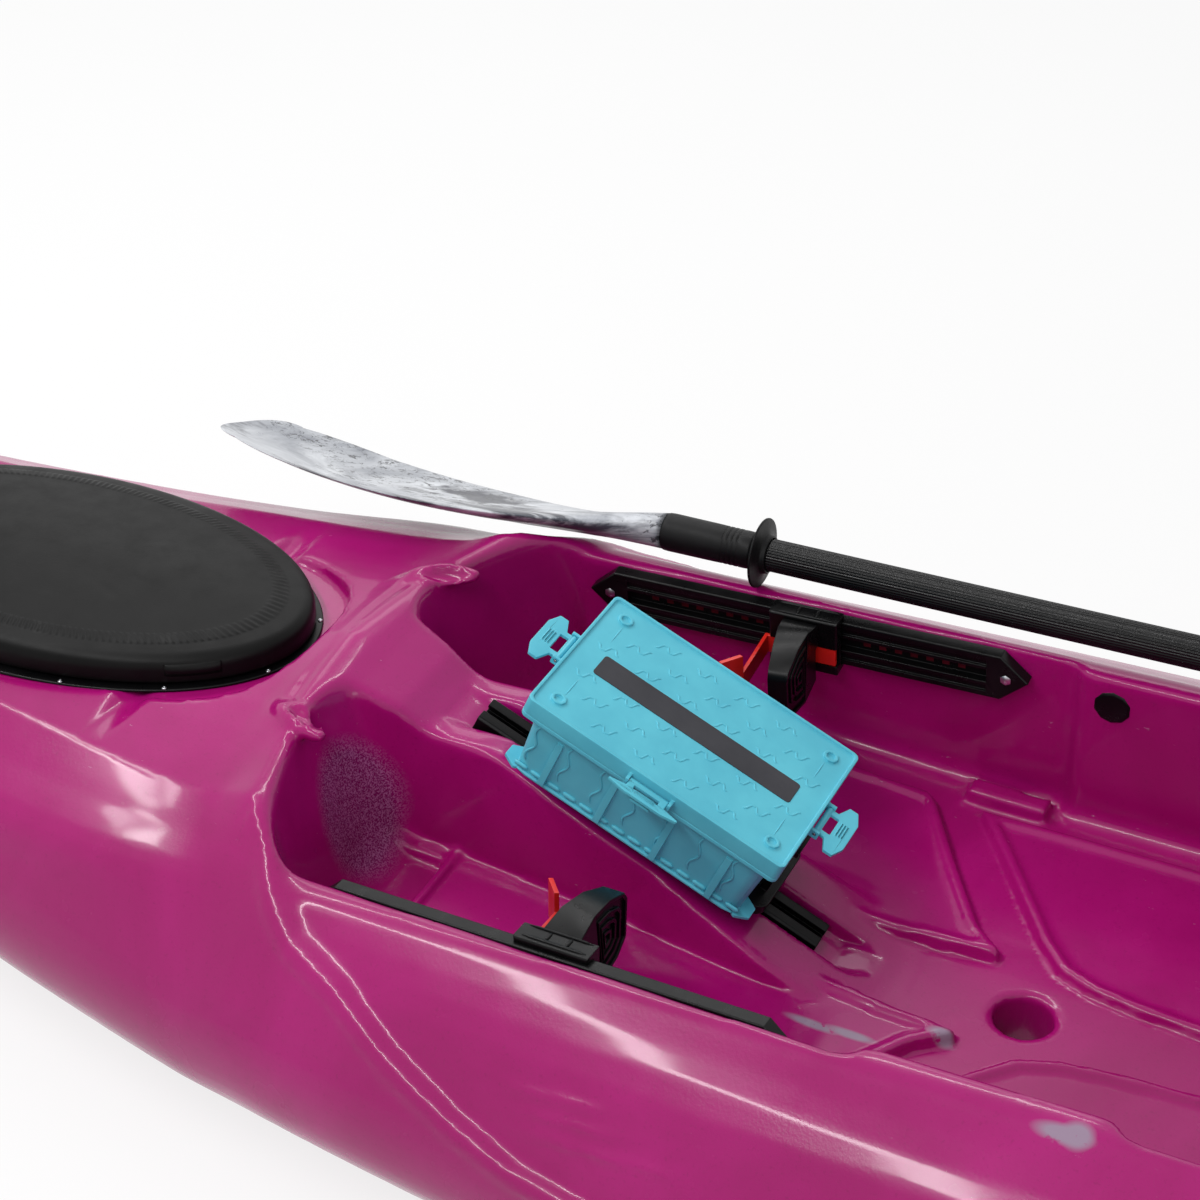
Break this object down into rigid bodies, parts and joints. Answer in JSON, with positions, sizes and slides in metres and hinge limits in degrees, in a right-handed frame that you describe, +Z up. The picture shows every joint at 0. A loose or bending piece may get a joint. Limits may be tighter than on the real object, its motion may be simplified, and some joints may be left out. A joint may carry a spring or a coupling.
{
  "type": "sit-on-top fishing kayak",
  "caption": "Sit-on-top fishing kayak with a domed bow hatch, sliding foot pedals, a sloping gear track with a lidded tackle box, a framed seat and a split paddle.",
  "frame": {"origin": "on the ground under the middle of the hull", "axes": "+X towards the bow, +Y to port, +Z up"},
  "size_m": [3.7, 0.84, 0.64],
  "materials": {
    "hull_plastic": "glossy marbled polythene",
    "black_plastic": "satin moulded",
    "black_rubber": "matt",
    "red_plastic": "satin moulded",
    "teal_plastic": "satin moulded",
    "steel": "bright",
    "black_metal": "anodised",
    "blade_plastic": "marbled",
    "shaft": "fibre-wound, satin",
    "seat_tube": "satin",
    "seat_mesh": "woven mesh",
    "foam": "closed-cell foam"
  },
  "bodies": {
    "hull": {"hull_shell": "hull_plastic", "bow_foam_pillar": "foam", "stern_foam_pillar": "foam", "bow_hatch_rim": "black_plastic", "port_foot_rail": "black_plastic", "port_rail_front_screw": "steel", "port_rail_rear_screw": "steel", "starboard_foot_rail": "black_plastic", "starboard_rail_front_screw": "steel", "starboard_rail_rear_screw": "steel", "gear_track": "black_metal", "port_wall_cap": "black_plastic", "starboard_wall_cap": "black_plastic", "bow_carry_handle": "black_rubber", "stern_carry_handle": "black_rubber", "port_front_seat_saddle": "black_plastic", "starboard_front_seat_saddle": "black_plastic", "port_rear_seat_saddle": "black_plastic", "starboard_rear_seat_saddle": "black_plastic"},
    "hatch_cover": {"bow_hatch_cover": "black_rubber"},
    "port_pedal": {"port_pedal_carriage": "black_plastic", "port_foot_pedal": "black_plastic"},
    "port_lever": {"port_pedal_lever": "red_plastic"},
    "starboard_pedal": {"starboard_pedal_carriage": "black_plastic", "starboard_foot_pedal": "black_plastic"},
    "starboard_lever": {"starboard_pedal_lever": "red_plastic"},
    "box_mount": {"track_mount_base": "black_plastic", "track_mount_front_bolt": "black_metal", "track_mount_rear_bolt": "black_metal", "tackle_box_tray": "teal_plastic", "tackle_box_hinge_pin": "steel"},
    "box_lid": {"tackle_box_lid": "teal_plastic", "tackle_box_bow_latch_pin": "steel", "tackle_box_stern_latch_pin": "steel", "tackle_box_front_latch_pin": "steel"},
    "bow_latch": {"tackle_box_bow_latch": "teal_plastic"},
    "stern_latch": {"tackle_box_stern_latch": "teal_plastic"},
    "front_latch": {"tackle_box_front_latch": "teal_plastic"},
    "paddle": {"paddle_shaft_front": "shaft", "paddle_sleeve_front": "black_rubber", "paddle_blade_front": "blade_plastic", "paddle_drip_ring_front": "black_rubber", "paddle_shaft_rear": "shaft", "paddle_sleeve_rear": "black_rubber", "paddle_blade_rear": "blade_plastic", "paddle_drip_ring_rear": "black_rubber", "paddle_ferrule": "black_metal"},
    "ferrule_button": {"paddle_ferrule_button": "steel"},
    "drain_plug": {"drain_plug": "black_plastic"},
    "seat": {"seat_frame": "seat_tube", "seat_base_sling": "seat_mesh", "port_seat_pivot_pin": "steel", "starboard_seat_pivot_pin": "steel"},
    "seat_back": {"seat_back_frame": "seat_tube", "seat_back_sling": "seat_mesh"}
  },
  "joints": [
    {"name": "hatch_cover_lift", "type": "slide", "parent": "hull", "child": "hatch_cover", "axis": [0, 0, 1], "range_m": [0, 0.25]},
    {"name": "port_pedal_slide", "type": "slide", "parent": "hull", "child": "port_pedal", "axis": [0.9991, -0.0292, -0.0314], "range_m": [-0.13, 0.13]},
    {"name": "port_lever_hinge", "type": "hinge", "parent": "port_pedal", "child": "port_lever", "pos_m": [0.5253, 0.24713, 0.21277], "axis": [0.0293, -0.0707, 0.9971], "range_deg": [-8, 0], "stiffness_Nm_per_rad": 0.6},
    {"name": "starboard_pedal_slide", "type": "slide", "parent": "hull", "child": "starboard_pedal", "axis": [0.9991, 0.0292, -0.0314], "range_m": [-0.13, 0.13]},
    {"name": "starboard_lever_hinge", "type": "hinge", "parent": "starboard_pedal", "child": "starboard_lever", "pos_m": [0.5253, -0.24713, 0.21277], "axis": [0.0293, 0.0707, 0.9971], "range_deg": [0, 8], "stiffness_Nm_per_rad": 0.6},
    {"name": "box_mount_slide", "type": "slide", "parent": "hull", "child": "box_mount", "axis": [0.9202, 0, 0.3915], "range_m": [-0.035, 0.025]},
    {"name": "box_lid_hinge", "type": "hinge", "parent": "box_mount", "child": "box_lid", "pos_m": [0.52849, -0.0885, 0.27524], "axis": [0.9202, 0, 0.3915], "range_deg": [0, 110]},
    {"name": "bow_latch_hinge", "type": "hinge", "parent": "box_lid", "child": "bow_latch", "pos_m": [0.6445, 0, 0.33207], "axis": [0, 1, 0], "range_deg": [-15, 88]},
    {"name": "stern_latch_hinge", "type": "hinge", "parent": "box_lid", "child": "stern_latch", "pos_m": [0.4071, 0, 0.23105], "axis": [0, -1, 0], "range_deg": [-15, 88]},
    {"name": "front_latch_hinge", "type": "hinge", "parent": "box_lid", "child": "front_latch", "pos_m": [0.5258, 0.088, 0.28156], "axis": [-0.9202, 0, -0.3915], "range_deg": [-15, 88]},
    {"name": "paddle_lift", "type": "slide", "parent": "hull", "child": "paddle", "axis": [0, 0, 1], "range_m": [0, 0.2]},
    {"name": "ferrule_button_press", "type": "slide", "parent": "paddle", "child": "ferrule_button", "axis": [0.0313, 0, 0.9995], "range_m": [-0.003, 0], "stiffness_N_per_m": 400},
    {"name": "drain_plug_turn", "type": "hinge", "parent": "hull", "child": "drain_plug", "pos_m": [-1.545, 0, 0.292], "axis": [0, 0, 1], "range_deg": [0, 360]},
    {"name": "seat_lift", "type": "slide", "parent": "hull", "child": "seat", "axis": [0, 0, 1], "range_m": [0, 0.15]},
    {"name": "seat_back_fold", "type": "hinge", "parent": "seat", "child": "seat_back", "pos_m": [-0.543, 0, 0.241], "axis": [0, 1, 0], "range_deg": [-12, 95]}
  ]
}
